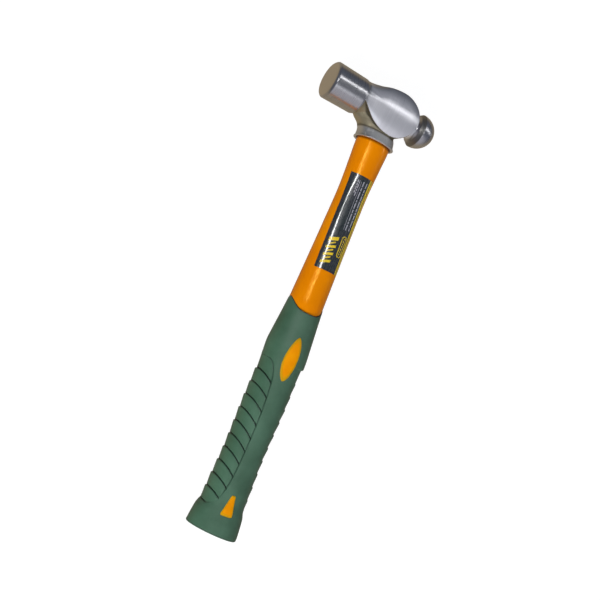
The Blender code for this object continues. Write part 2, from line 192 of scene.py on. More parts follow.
def skin(name, rings, capped=True):
    """A mesh through closed rings of points, an array of shape (rings, points, 3)."""
    rings = np.asarray(rings, float)
    count, size, _ = rings.shape
    index = np.arange(count * size).reshape(count, size)
    here, there = np.arange(size), (np.arange(size) + 1) % size
    quads = np.stack(
        [index[:-1][:, here], index[:-1][:, there], index[1:][:, there], index[1:][:, here]], axis=-1
    ).reshape(-1, 4)
    points = rings.reshape(-1, 3)
    faces = quads.tolist()
    if capped:
        middle = len(points)
        points = np.vstack([points, rings[0].mean(0), rings[-1].mean(0)])
        fans = [(index[0][n], index[0][h], middle) for h, n in zip(here, there)]
        fans += [(index[-1][h], index[-1][n], middle + 1) for h, n in zip(here, there)]
        faces += fans
        triangles = np.array(fans)
        inside_out = mesh_volume(points, quads) + mesh_volume(points, triangles) < 0
        if inside_out:
            faces = [tuple(reversed(f)) for f in faces]
    mesh = bpy.data.meshes.new(name)
    mesh.from_pydata(points.tolist(), [], faces)
    mesh.shade_smooth()
    return add_object(name, mesh)


def apply_modifiers(piece):
    graph = bpy.context.evaluated_depsgraph_get()
    mesh = bpy.data.meshes.new_from_object(piece.evaluated_get(graph))
    piece.modifiers.clear()
    piece.data = mesh
    return piece


def combine(piece, others, operation):
    """Joins other closed meshes to the piece, or cuts them out of it, and removes them."""
    for other in others:
        step = piece.modifiers.new(operation.lower(), "BOOLEAN")
        step.operation = operation
        step.solver = "MANIFOLD"
        step.object = other
    apply_modifiers(piece)
    for other in others:
        bpy.data.objects.remove(other)
    return piece


def read_vectors(items, key):
    """One row of three numbers for each vertex."""
    rows = np.empty(len(items) * 3, np.float32)
    items.foreach_get(key, rows)
    return rows.reshape(-1, 3).astype(float)


def move_vertices(piece, points):
    piece.data.vertices.foreach_set("co", points.astype(np.float32).ravel())
    piece.data.update()


def mark(piece, name, values):
    """Stores one number for each vertex, for the material to read."""
    attribute = piece.data.attributes.new(name, "FLOAT", "POINT")
    attribute.data.foreach_set("value", values.astype(np.float32))


def lumps(points, scale):
    """Soft random relief at points, about -1 to 1."""
    return np.array([noise.noise(Vector(p) * scale) for p in points])


def dress(piece, material, slot, *nodes):
    """Gives a piece its material and its body, and hides the CAD nodes that it stands for."""
    piece.data.materials.clear()
    piece.data.materials.append(material)
    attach(piece, BODY)
    if nodes:
        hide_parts(*nodes)
    return piece


def turn_angles(count):
    return np.arange(count) * 2 * math.pi / count


def oval_rings(stations, count, power=2.0):
    """Rings across the handle from rows of (u, half length, half width, centre v).

    The power is 2 for a plain oval, and more for a squarer one.
    """
    a = turn_angles(count)
    s, c = np.sin(a), np.cos(a)
    s = np.sign(s) * np.abs(s) ** (2 / power)
    c = np.sign(c) * np.abs(c) ** (2 / power)
    return np.array([place(u, centre + s * length, c * width) for u, length, width, centre in stations])


def turned(name, profile):
    """A solid of revolution about the head's axis from (reach, radius) pairs."""
    a = turn_angles(160)
    return skin(name, [place(HEAD_AXIS_U + r * np.sin(a), v, r * np.cos(a)) for v, r in profile])


# ---- the head ------------------------------------------------------------------------------
def bezier(points):
    """Points along a cubic curve."""
    t = np.linspace(0, 1, OUTLINE_STEPS)[:, None]
    a, b, c, d = (np.array(p, float) for p in points)
    return a * (1 - t) ** 3 + 3 * b * t * (1 - t) ** 2 + 3 * c * t * t * (1 - t) + d * t**3


def cheek_outline():
    """Outline of the cheeks from the side, as rows of (height over the head's axis, v)."""
    top, bottom = (CHEEK_RADIUS, CHEEK_CENTRE_V), (-CHEEK_DROP, CHEEK_CENTRE_V)
    upper = bezier((top, (CHEEK_RADIUS, 5 * MM), (12.8 * MM, 13 * MM), (11.6 * MM, 24 * MM)))[:-1]
    nose = np.array([(11.6, 24), (11.0, 26.3), (9.3, 27), (5, 27), (1, 27)]) * MM
    lower = bezier(((-3 * MM, 26 * MM), (-10 * MM, 17 * MM), (-CHEEK_DROP, 11 * MM), bottom))[:-1]
    a = np.linspace(0, math.pi, 110, endpoint=False)
    height = np.where(np.cos(a) > 0, CHEEK_DROP, CHEEK_RADIUS)
    disc = np.stack([-height * np.cos(a), CHEEK_CENTRE_V - CHEEK_RADIUS * np.sin(a)], axis=1)
    return np.vstack([upper, nose, lower, disc])


def cheek_half_thickness(p, v):
    """Half the head's thickness at a height p over its axis: a barrel that runs into the poll."""
    along = v - CHEEK_CENTRE_V
    barrel = HALF_DEPTH - p * p / (2 * CHEEK_FALL_RADIUS) - along * along / (2 * CHEEK_CROWN_RADIUS)
    fall = np.where(p > 0, 1.0, CHEEK_LOWER_FULLNESS) * p * p
    neck = np.sqrt(np.maximum((POLL_REAR_RADIUS - 0.3 * MM) ** 2 - fall, 0.0))
    blend = smoothstep((v - 6 * MM) / (20 * MM))
    return barrel * (1 - blend) + neck * blend


def make_cheeks():
    outline = cheek_outline()
    middle = np.array(CHEEK_FAN_CENTRE)
    shares = np.concatenate([[0.01], np.linspace(0.05, CHEEK_GROUND_SHARE, 40)])

    def ring(share, side, trim=0.0):
        p, v = (middle + (outline - middle) * share).T
        return place(HEAD_AXIS_U + p, v, side * (cheek_half_thickness(p, v) - trim))

    front = [ring(s, 1) for s in shares] + [ring(1.0, 1, 0.3 * MM)]
    back = [ring(1.0, -1, 0.3 * MM)] + [ring(s, -1) for s in shares[::-1]]
    return skin("head_forging", front + back)


def arc_profile(centre, radii, start, end, count):
    """Points (reach, radius) on an elliptical arc between two angles in degrees."""
    a = np.radians(np.linspace(start, end, count))
    return [(centre[0] + radii[0] * math.cos(t), centre[1] + radii[1] * math.sin(t)) for t in a]


def make_poll():
    """The round striking end: a slightly tapered drum with a crowned face and a soft chamfer."""
    front = FACE_REACH - FACE_CROWN
    profile = [
        (8 * MM, POLL_NECK_RADIUS - 0.3 * MM),
        (20 * MM, POLL_NECK_RADIUS),
        (22.6 * MM, POLL_NECK_RADIUS + 0.05 * MM),
        (24.6 * MM, POLL_REAR_RADIUS - 0.65 * MM),
        (25.6 * MM, POLL_REAR_RADIUS - 0.15 * MM),
        (POLL_REAR_REACH + 0.3 * MM, POLL_REAR_RADIUS),
        (front - 1.7 * MM, POLL_RADIUS),
        (front - 1.3 * MM, POLL_RADIUS - 0.15 * MM),
        (front - 0.25 * MM, POLL_RADIUS - 1.1 * MM),
        (front, POLL_RADIUS - 1.5 * MM),
    ]
    for radius in np.linspace(11.8, 9.0, 8) * MM:
        share = (radius - FACE_FLAT_RADIUS) / FACE_CROWN_WIDTH
        profile.append((FACE_REACH - (FACE_REACH - front) * share**2, radius))
    profile += [(FACE_REACH, 4 * MM), (FACE_REACH, 0.2 * MM)]
    return turned("poll", profile)


def make_ball():
    """The ball peen on its neck, with a turned band round its base."""
    crease = -BALL_CREASE_REACH
    depth = PEEN_REACH - BALL_CREASE_REACH
    profile = [(-12 * MM, BALL_NECK_RADIUS - 0.3 * MM), (-22.8 * MM, BALL_NECK_RADIUS)]
    profile += [
        (-24.2 * MM, BALL_NECK_RADIUS + 0.1 * MM),
        (-24.8 * MM, BALL_NECK_RADIUS + 0.6 * MM),
        (-25.05 * MM, BALL_NECK_RADIUS + 1.3 * MM),
        (-25.6 * MM, BALL_RADIUS - 1.95 * MM),
        (-26.6 * MM, BALL_RADIUS - 1.6 * MM),
        (crease, BALL_RADIUS),
    ]
    profile += arc_profile((crease, 0), (-depth, BALL_RADIUS), 84, 1, 40)
    return turned("ball", profile)


def make_skirt():
    """The skirt round the eye's lower end and the web that carries it up to the poll."""
    # height over the head's axis, lowest and highest v, and half width, in mm
    rows = np.array([
        (2, -14, 25.6, 11.0), (-4, -14, 25.6, 11.0), (-9, -13.6, 25.4, 10.5), (-13, -13.3, 23.7, 9.9),
        (-16.5, -13.8, 18.3, 9.9), (-19.5, -14.3, 15.7, 10.9), (-24.0, -14.9, 15.1, 12.3),
    ])
    depths = np.linspace(-24.0, 2, 70)
    low, high, width = (through([(r[0], r[k]) for r in rows], depths * MM) / MM for k in (1, 2, 3))
    rings = []
    for d, l, h, b in list(zip(depths, low, high, width))[::-1]:
        power = 1.7 + 0.6 * float(smoothstep((-14 - d) / 6))
        station = (HEAD_AXIS_U + d * MM, (h - l) / 2 * MM, b * MM, (h + l) / 2 * MM)
        rings.append(oval_rings([station], 160, power)[0])
    rim_u = HEAD_AXIS_U - SKIRT_DEPTH
    for rise, bead in ((1.25, 0.15), (1.05, 0.9), (0.75, 1.0), (0.4, 1.0), (0.1, 0.7), (0.0, 0.1)):
        grow = RIM_BEAD * bead
        station = (rim_u + rise * MM, SKIRT_HALF_LENGTH + grow, SKIRT_HALF_WIDTH + grow, 0.0)
        rings.append(oval_rings([station], 160, 2.3)[0])
    return skin("skirt", rings)


def eye_half_sizes(u):
    """Half length and half width of the eye: wide in the skirt, then tight round the rod."""
    share = smoothstep((u - (HEAD_AXIS_U - 22.3 * MM)) / (7 * MM))
    return (13.75 - 4.2 * share) * MM, (11.15 - 4.1 * share) * MM


def make_eye_cutter():
    """The hole for the handle, with a flared mouth."""
    us = np.linspace(HEAD_AXIS_U - SKIRT_DEPTH - 1 * MM, OVERALL_LENGTH + 1 * MM, 60)
    flare = 0.6 * MM * np.clip(1 - (us - us[1]) / (1.5 * MM), 0, 1)
    stations = [(u, eye_half_sizes(u)[0] + f, eye_half_sizes(u)[1] + f, 0.0) for u, f in zip(us, flare)]
    return skin("eye", oval_rings(stations, 120))


def inside_outline(p, v, outline):
    """Whether points seen from the side lie within the cheeks' outline."""
    inside = np.zeros(len(p), bool)
    for (p0, v0), (p1, v1) in zip(outline, np.roll(outline, -1, axis=0)):
        if v0 == v1:
            continue
        crosses = (v0 > v) != (v1 > v)
        inside ^= crosses & (p < (p1 - p0) * (v - v0) / (v1 - v0) + p0)
    return inside


def forged_share(points):
    """1 where the head keeps its forged skin (web, skirt, eye), 0 where it is ground or turned."""
    u, v, w = hammer_coordinates(points)
    p = u - HEAD_AXIS_U
    middle = np.array(CHEEK_FAN_CENTRE)
    on_cheek = inside_outline(p, v, middle + (cheek_outline() - middle) * CHEEK_GROUND_SHARE)
    on_cheek &= np.abs(w) > cheek_half_thickness(p, v) - 0.5 * MM
    forged = (p < -1.0 * MM) & ~on_cheek & (v < POLL_REAR_REACH - 1.2 * MM) & (v > -18.5 * MM)
    length, width = eye_half_sizes(u)
    in_eye = (v / (length + 0.35 * MM)) ** 2 + (w / (width + 0.35 * MM)) ** 2 < 1
    return (forged | in_eye).astype(float)


def painted_crease_shade_share(points, forged):
    """1 in the forged corners round the cheeks and over the skirt, where the steel is painted with
    shade.
    """
    u, v, _ = hammer_coordinates(points)
    p = u - HEAD_AXIS_U
    share = np.zeros(len(points))
    near = np.flatnonzero((forged > 0.5) & (p < -2 * MM) & (v < 25 * MM))
    outline = cheek_outline()
    spots = np.stack([p[near], v[near]], axis=1)
    distance = np.full(len(near), 1.0)
    for corner in outline[::2]:
        distance = np.minimum(distance, np.hypot(*(spots - corner).T))
    round_cheek = np.exp(-((distance / (0.8 * MM)) ** 2))
    over_skirt = 0.8 * np.exp(-(((p[near] - SKIRT_TOP) / (0.7 * MM)) ** 2))
    share[near] = np.maximum(round_cheek, over_skirt)
    return share


def painted_cheek_top_shade_share(points, forged):
    """Rises to 1 at the upper edge of the cheeks, where the steel is painted with shade."""
    u, v, _ = hammer_coordinates(points)
    p, back = u - HEAD_AXIS_U, v - CHEEK_CENTRE_V
    upper = cheek_outline()[:OUTLINE_STEPS - 1]
    top = np.interp(v, upper[:, 1], upper[:, 0])
    reach = np.where(back < 0, np.hypot(p, back) / CHEEK_RADIUS, p / top)
    share = smoothstep((reach - 0.5) / 0.5) * smoothstep((p + 8 * MM) / (14 * MM))
    return share * (1 - forged) * smoothstep((25 * MM - v) / (6 * MM))


def make_head():
    """One forging: the parts are joined, bored, and then remeshed so that the joints run soft."""
    head = make_cheeks()
    combine(head, [make_poll(), make_ball(), make_skirt()], "UNION")
    combine(head, [make_eye_cutter()], "DIFFERENCE")
    remesh = head.modifiers.new("even", "REMESH")
    remesh.mode = "VOXEL"
    remesh.voxel_size = HEAD_VOXEL
    soften = head.modifiers.new("soften", "SMOOTH")
    soften.factor = 0.5
    soften.iterations = 5
    apply_modifiers(head)
    points = read_vectors(head.data.vertices, "co")
    normals = read_vectors(head.data.vertex_normals, "vector")
    forged = forged_share(points)
    skin_relief = 0.05 * lumps(points, 420) + 0.03 * lumps(points, 1100)
    move_vertices(head, points + normals * (forged * skin_relief * MM)[:, None])
    mark(head, "forged", forged)
    mark(head, "crease", painted_crease_shade_share(points, forged))
    mark(head, "painted_cheek_top_shade", painted_cheek_top_shade_share(points, forged))
    head.data.shade_smooth()
    return dress(head, steel_material(), "forged_steel", "head")


# ---- the handle ----------------------------------------------------------------------------
def shaft_half_sizes(u):
    length = through(SHAFT_STATIONS, u)
    return length, length * SHAFT_FLATNESS


def grip_half_sizes(u):
    length = through(GRIP_STATIONS, u)
    return length, np.minimum(length * GRIP_FLATNESS, BUTT_HALF_DEPTH)


def edge_scoop(a):
    """How far the grip's top edge dips over the front and the back, below its sides."""
    return GRIP_TOP_SCOOP * (1 - np.abs(np.sin(a)) ** 3.5)


def make_jacket():
    """The orange shaft, with a thinner core that runs into the grip and a faint parting line."""
    a = turn_angles(160)
    rings = []

    def outer(u, inset=0.0):
        length, width = shaft_half_sizes(u)
        parting = 0.05 * MM * np.exp(-((np.cos(a) / 0.03) ** 2))
        return place(u, (length - inset + parting) * np.sin(a), (width - inset) * np.cos(a))

    shoulder = GRIP_TOP_U - edge_scoop(a)
    core_length, core_width = JACKET_CORE
    rings.append(place(GRIP_TOP_U - 30 * MM, core_length * np.sin(a), core_width * np.cos(a)))
    rings.append(place(shoulder - 0.6 * MM, core_length * np.sin(a), core_width * np.cos(a)))
    rings.append(outer(shoulder - 0.6 * MM, 0.25 * MM))
    rings.append(outer(shoulder))
    for u in np.linspace(GRIP_TOP_U + 1 * MM, JACKET_TOP_U - 1 * MM, 110):
        rings.append(outer(u))
    for step, inset in ((0.6, 0.15), (0.2, 0.5), (0.0, 1.0)):
        rings.append(outer(JACKET_TOP_U - step * MM, inset * MM))
    return dress(skin("jacket_moulding", rings), orange_material(), "orange_plastic", "handle_jacket")


def ridge_relief(u, a, length, width):
    """Height of the ridges over the grip's plain surface, and how deep in a groove a point is."""
    side = np.arcsin(np.clip(np.abs(np.sin(a)), 0, 1))
    on_ball_side = np.sin(a) < 0
    band_angle = np.where(on_ball_side, BALL_SIDE_HALF_ANGLE, BAND_HALF_ANGLE)
    share = 1 - side / (math.pi / 2)
    drop = GROOVE_SLANT * share**GROOVE_CURVE
    radius = (length + width) / 2

    def band_edge(at):
        """Angle at which the ridges end, on each side of the handle."""
        x = np.clip(np.abs(at - BAND_MIDDLE_U) / BAND_HALF_LENGTH, 0, 1)
        return math.pi / 2 - (math.pi / 2 - band_angle) * (1 - x**2.5) ** 0.2

    step = 0.2 * MM
    slope = (band_edge(u + step) - band_edge(u - step)) / (2 * step)
    beyond = np.abs(u - BAND_MIDDLE_U) - BAND_HALF_LENGTH
    border = (side - band_edge(u)) / np.sqrt(1 / radius**2 + slope**2)
    border = np.where(beyond > 0, -np.maximum(beyond, np.abs(border)), border)
    inside = smoothstep(border / (0.5 * MM))

    run = (GROOVE_TOP_U - u - drop) / GROOVE_PITCH
    lean = GROOVE_SLANT * GROOVE_CURVE * share ** (GROOVE_CURVE - 1) / (math.pi / 2) / radius
    nearest = np.clip(np.round(run), 0, GROOVE_COUNT)
    groove_distance = (run - nearest) * GROOVE_PITCH / np.sqrt(1 + lean**2)
    groove = np.exp(-((groove_distance / GROOVE_HALF_WIDTH) ** 2))
    groove = groove * smoothstep((border + 0.6 * MM) / (0.5 * MM))
    border_line = np.exp(-((border / BORDER_HALF_WIDTH) ** 2)) * smoothstep((u - 25 * MM) / (9 * MM))
    border_line = np.where(on_ball_side, 0.0, border_line)

    phase = run - np.floor(run)
    saw = RIDGE_RISE * (0.5 - phase) * 2
    saw = np.where(run < 0, -(0.15 + 0.55 * (run + 1)) * MM, saw)
    saw = saw * np.where(run > GROOVE_COUNT, 0.0, 1.0)
    relief = inside * saw - GROOVE_DEPTH * groove - BORDER_DEPTH * border_line
    corner = smoothstep((u - 128.6 * MM) / (1.2 * MM)) * smoothstep((144 * MM - u) / (14 * MM))
    relief += np.where(on_ball_side, 1.5 * MM * corner * smoothstep(side / 1.2 - 0.2), 0.0)
    # The second value is painted as shade in the grooves and border lines.
    return relief, np.clip(np.maximum(groove, 0.8 * border_line), 0, 1)


def grip_surface(u, a):
    """Points on the grip's outside, and the groove depth there."""
    length, width = grip_half_sizes(u)
    relief, groove = ridge_relief(u, a, length, width)
    s, c = np.sin(a), np.cos(a)
    reach = np.sqrt((s / length) ** 2 + (c / width) ** 2)
    v = length * s + relief * (s / length) / reach
    w = width * c + relief * (c / width) / reach
    return place(u, v, w), groove


def grip_butt(a):
    """The grip's domed and rounded end, as (ring, groove depth) pairs, with painted shade round the
    rounded rim. It slants a little.
    """
    length, width = (float(x) for x in grip_half_sizes(np.array(0.0)))

    def slant(u, v):
        return u + (0.1 * MM + 0.085 * v) * (1 - smoothstep(u / (13 * MM)))

    made = []
    for share in np.linspace(0.02, 0.97, 12):
        sag = 0.3 * MM * max(share - 0.75, 0) / 0.22
        v = (length - GRIP_END_RADIUS) * share * np.sin(a)
        w = (width - GRIP_END_RADIUS) * share * np.cos(a)
        made.append((place(slant(sag, v), v, w), 0 * a))
    for t in np.radians(np.linspace(0, 84, 12)):
        out = GRIP_END_RADIUS * (math.sin(t) - 1)
        u = 0.3 * MM + GRIP_END_RADIUS * (1 - math.cos(t))
        grow_length, grow_width = (float(x) for x in grip_half_sizes(np.array(u)))
        v = (grow_length + out) * np.sin(a)
        # Painted shade: a dark line round the rounded rim.
        butt_rim_shade = 0.9 * smoothstep(1 - abs(math.degrees(t) - 66) / 22)
        made.append((place(slant(u, v), v, (grow_width + out) * np.cos(a)), 0 * a + butt_rim_shade))
    for u in np.linspace(2.0, 13.6, 20) * MM:
        made.append(grip_surface(slant(u, length * np.sin(a)), a))
    return made


def grip_top(a):
    """The grip's scooped top edge and the bore for the jacket's core, as (ring, groove) pairs. The top
    edge carries painted shade along the seam with the jacket.
    """
    made = []
    for rise, inset in ((0.35, 0.06), (0.55, 0.25), (0.6, 0.6)):
        at = GRIP_TOP_U - (0.6 - rise) * MM - edge_scoop(a)
        length, width = grip_half_sizes(at)
        ring = place(at, (length - inset * MM) * np.sin(a), (width - inset * MM) * np.cos(a))
        # Painted shade along the seam with the jacket.
        made.append((ring, 0 * a + 0.9))
    bore_length, bore_width = (half + 0.1 * MM for half in JACKET_CORE)
    for at in (GRIP_TOP_U - edge_scoop(a) - 0.05 * MM, GRIP_TOP_U - 30 * MM):
        made.append((place(at, bore_length * np.sin(a), bore_width * np.cos(a)), 0 * a))
    return made


def make_grip():
    """The soft grip, from the butt's middle up to the top edge, with pockets for the inlays."""
    a = turn_angles(GRIP_RING_POINTS)
    made = grip_butt(a)
    for u in np.arange(14, 134, 0.32) * MM:
        made.append(grip_surface(u, a))
    for u in np.linspace(134.5, 175.3, 40) * MM:
        lean = smoothstep((u - 134 * MM) / (30 * MM))
        made.append(grip_surface(u - edge_scoop(a) * lean, a))
    made += grip_top(a)
    rings, groove_shades = zip(*made)
    grip = skin("grip_moulding", rings)
    # The groove depths, and the rim and seam marks, are painted as shade by the grip's material.
    mark(grip, "groove", np.append(np.concatenate(groove_shades), [0, 0]))
    cutters = [inlay_solid("pocket", kind, side, 3.0, 1.6, 0.12) for kind in INLAYS for side in (1, -1)]
    combine(grip, cutters, "DIFFERENCE")
    grip.data.shade_smooth()
    grip.data.set_sharp_from_angle(angle=math.radians(50))
    return dress(grip, rubber_material(), "green_rubber", "grip")


# ---- the inlays ----------------------------------------------------------------------------
def thumb_outline(grow):
    """A lens, fuller towards the butt."""
    low, high, half = THUMB_INLAY
    a = turn_angles(120)
    middle, reach = (low + high) / 2, (high - low) / 2
    lens = np.sign(np.sin(a)) * np.abs(np.sin(a)) ** 1.3
    fuller = 1 - 0.10 * np.cos(a)
    return np.stack([middle + (reach + grow) * np.cos(a), (half * fuller + grow) * lens], axis=1)


def butt_outline(grow):
    """A narrow trapezium with rounded corners, its small end towards the head."""
    low, high, half = BUTT_INLAY
    tip = BUTT_INLAY_TIP
    corners = np.array([(low, -half), (high, -tip), (high, tip), (low, half)])
    radii = np.array([1.3, 0.9, 0.9, 1.3]) * MM
    outline = []
    for k in range(4):
        here = corners[k]
        before = corners[k - 1] - here
        after = corners[(k + 1) % 4] - here
        before, after = before / np.linalg.norm(before), after / np.linalg.norm(after)
        half_angle = math.acos(float(before @ after)) / 2
        middle = before + after
        centre = here + middle / np.linalg.norm(middle) * radii[k] / math.sin(half_angle)
        start = here + before * radii[k] / math.tan(half_angle) - centre
        end = here + after * radii[k] / math.tan(half_angle) - centre
        for t in np.linspace(0, 1, 12):
            aim = start * (1 - t) + end * t
            outline.append(centre + aim / np.linalg.norm(aim) * (radii[k] + grow))
        following = corners[(k + 1) % 4]
        for t in np.linspace(0.3, 0.7, 3):
            edge = here * (1 - t) + following * t
            along = following - here
            side = np.array([along[1], -along[0]]) / np.linalg.norm(along)
            side = side if side @ (edge - corners.mean(0)) > 0 else -side
            outline.append(edge + side * grow)
    return np.array(outline)


INLAYS = {"thumb": thumb_outline, "butt": butt_outline}


def inlay_solid(name, kind, side, proud, depth, grow, rounding=0.0):
    """A tile that follows the grip's curve, from a height over it to a depth under it, in mm."""
    outline = INLAYS[kind](grow * MM)
    centre = outline.mean(0)

    def ring(share, lift, inset=0.0):
        rays = outline - centre
        lengths = np.linalg.norm(rays, axis=1, keepdims=True)
        at = centre + rays * share * (1 - inset / lengths)
        length, width = grip_half_sizes(at[:, 0])
        height = width * np.sqrt(1 - (at[:, 1] / length) ** 2) + lift * MM
        return place(at[:, 0], at[:, 1], side * height)

    rings = [ring(s, proud) for s in np.linspace(0.03, 0.9, 14)]
    for t in np.radians(np.linspace(0, 90, 7)):
        fall, inset = rounding * (1 - math.cos(t)), rounding * (1 - math.sin(t))
        rings.append(ring(1.0, proud - fall, inset * MM))
    rings += [ring(1.0, -depth), ring(0.03, -depth)]
    tile = skin(name, rings)
    pale = smoothstep((np.arange(len(rings)) - 10) / 4)  # the rings near and past the rim
    mark(tile, "edge", np.append(np.repeat(pale, len(outline)), [0, 0]))
    return tile


def make_inlays():
    for kind in INLAYS:
        for side, where in ((1, "front"), (-1, "back")):
            tile = inlay_solid(f"{kind}_tile_{where}", kind, side, INLAY_PROUD[kind], 1.4, 0.0, 0.35)
            tile.data.set_sharp_from_angle(angle=math.radians(60))
            dress(tile, inlay_material(), "inlay_plastic", f"{kind}_inlay_{where}")


# ---- the label -----------------------------------------------------------------------------
LABEL_LOW, LABEL_HIGH = 201.5 * MM, 275.0 * MM
LABEL_LIFT = 0.04 * MM
LABEL_THICKNESS = 0.10 * MM
INK_BASE = LABEL_LIFT + LABEL_THICKNESS + 0.006 * MM
INK_THICKNESS = 0.012 * MM
STRIP_EDGE = -0.25  # the printed strip beyond the label's dark part, on the ball side


def label_point(u, x, lift):
    """A point over the label. x runs from 0 at the dark part's ball side to 1 at its face side."""
    share = (u - LABEL_LOW) / (LABEL_HIGH - LABEL_LOW)
    first, last = np.radians(-34 + 8 * share), np.radians(45.5 + 10.5 * share)
    a = first + (last - first) * x
    length, width = shaft_half_sizes(u)
    s, c = np.sin(a), np.cos(a)
    reach = np.sqrt((s / length) ** 2 + (c / width) ** 2)
    return place(u, length * s + lift * (s / length) / reach, width * c + lift * (c / width) / reach)


def label_slab(name, u, x, low, high):
    """A thin closed slab over a grid of label points, between two heights over the shaft."""
    top, under = label_point(u, x, high), label_point(u, x, low)
    return skin(name, np.concatenate([top, under[:, ::-1]], axis=1))


def make_label():
    u, x = np.meshgrid(
        np.linspace(LABEL_LOW, LABEL_HIGH, 60), np.linspace(STRIP_EDGE, 1, 48), indexing="ij"
    )
    film = label_slab("label_film", u, x, LABEL_LIFT, LABEL_LIFT + LABEL_THICKNESS)
    film.data.set_sharp_from_angle(angle=math.radians(40))
    return dress(film, film_material(), "label_film", "label")


def ink_patch(low_u, high_u, low_x, high_x, slant=0.0, along=24, over=4):
    """Slab of ink between two u (mm) and two x. slant (mm) moves the low x side to the head."""
    t, r = np.meshgrid(np.linspace(0, 1, along), np.linspace(0, 1, over), indexing="ij")
    u = (low_u + (high_u - low_u) * t + slant * (1 - r)) * MM
    x = low_x + (high_x - low_x) * r
    return label_slab("ink", u, x, INK_BASE, INK_BASE + INK_THICKNESS)


def ink_loop(centre_u, centre_x, half_length, half_x, lean, line):
    """A capsule outline on the label. Lengths are in mm, x is across, and lean tilts it."""
    a = turn_angles(72)
    scale = 16.0  # mm of label for 1 of x
    half_width = half_x * scale
    straight = half_length - half_width

    def path(radius):
        along = np.sign(np.cos(a)) * straight + radius * np.cos(a)
        return (centre_u + along) * MM, centre_x + radius * np.sin(a) / scale + lean * along

    base, top = INK_BASE, INK_BASE + INK_THICKNESS
    inner = half_width - line
    corners = ((half_width, base), (half_width, top), (inner, top), (inner, base), (half_width, base))
    return skin("ink", [label_point(*path(radius), lift) for radius, lift in corners], capped=False)


def join(name, pieces):
    """Joins meshes into one object."""
    points, faces, start = [], [], 0
    for piece in pieces:
        here = read_vectors(piece.data.vertices, "co")
        points.append(here)
        faces += [[start + i for i in f.vertices] for f in piece.data.polygons]
        start += len(here)
        bpy.data.objects.remove(piece)
    mesh = bpy.data.meshes.new(name)
    mesh.from_pydata(np.vstack(points).tolist(), [], faces)
    return add_object(name, mesh)


def dashed_row(low_u, high_u, x, half_x, dashes, gap):
    """A row of short strokes along the label, in a repeating order of lengths."""
    made, u, k = [], low_u, 0
    while u < high_u:
        length = min(dashes[k % len(dashes)], high_u - u)
        made.append(ink_patch(u, u + length, x - half_x, x + half_x, along=5, over=3))
        u += length + gap
        k += 1
    return made


def make_print():
    """A generic printed pattern: an edge strip, slanted bars, a capsule, a rule and broken rows."""
    low, high = LABEL_LOW / MM, LABEL_HIGH / MM
    gold = [ink_patch(low, high, *x, along=60) for x in ((-0.115, -0.025), (STRIP_EDGE, -0.15))]
    starts = (205.4, 208.6, 211.0, 214.2, 216.6, 219.8, 222.2)
    for k, (start, thick) in enumerate(zip(starts, (1.9, 1.1, 1.9, 1.1, 1.9, 1.1, 2.6))):
        trim = 0.0 if k % 2 == 0 else 0.07
        gold.append(ink_patch(start, start + thick, 0.42 + trim, 0.83 - trim, 2.6, along=6, over=16))
    gold.append(ink_loop(221.6, 0.15, 8.1, 0.125, 0.0009, 0.62))
    gold += dashed_row(215.6, 227.8, 0.15, 0.022, (1.3, 0.8, 1.6), 0.7)
    dress(join("label_print_gold", gold), ink_material("gold_ink", (0.97, 0.68, 0.02)), "label_film")

    white = [ink_patch(233.5, 271.0, 0.378, 0.392, along=40, over=3)]
    for row in (
        (234, 271.5, 0.275, 0.024, (4.2, 1.6, 5.4, 2.4), 0.8),
        (234.5, 271.5, 0.10, 0.024, (2.2, 5.0, 3.2, 1.4), 0.8),
        (259.5, 271.3, 0.475, 0.02, (3.0, 1.4), 0.7),
        (261.5, 271.3, 0.545, 0.02, (1.6, 2.6), 0.7),
    ):
        white += dashed_row(*row)
    dress(join("label_print_white", white), ink_material("white_ink", (0.50, 0.50, 0.55)), "label_film")


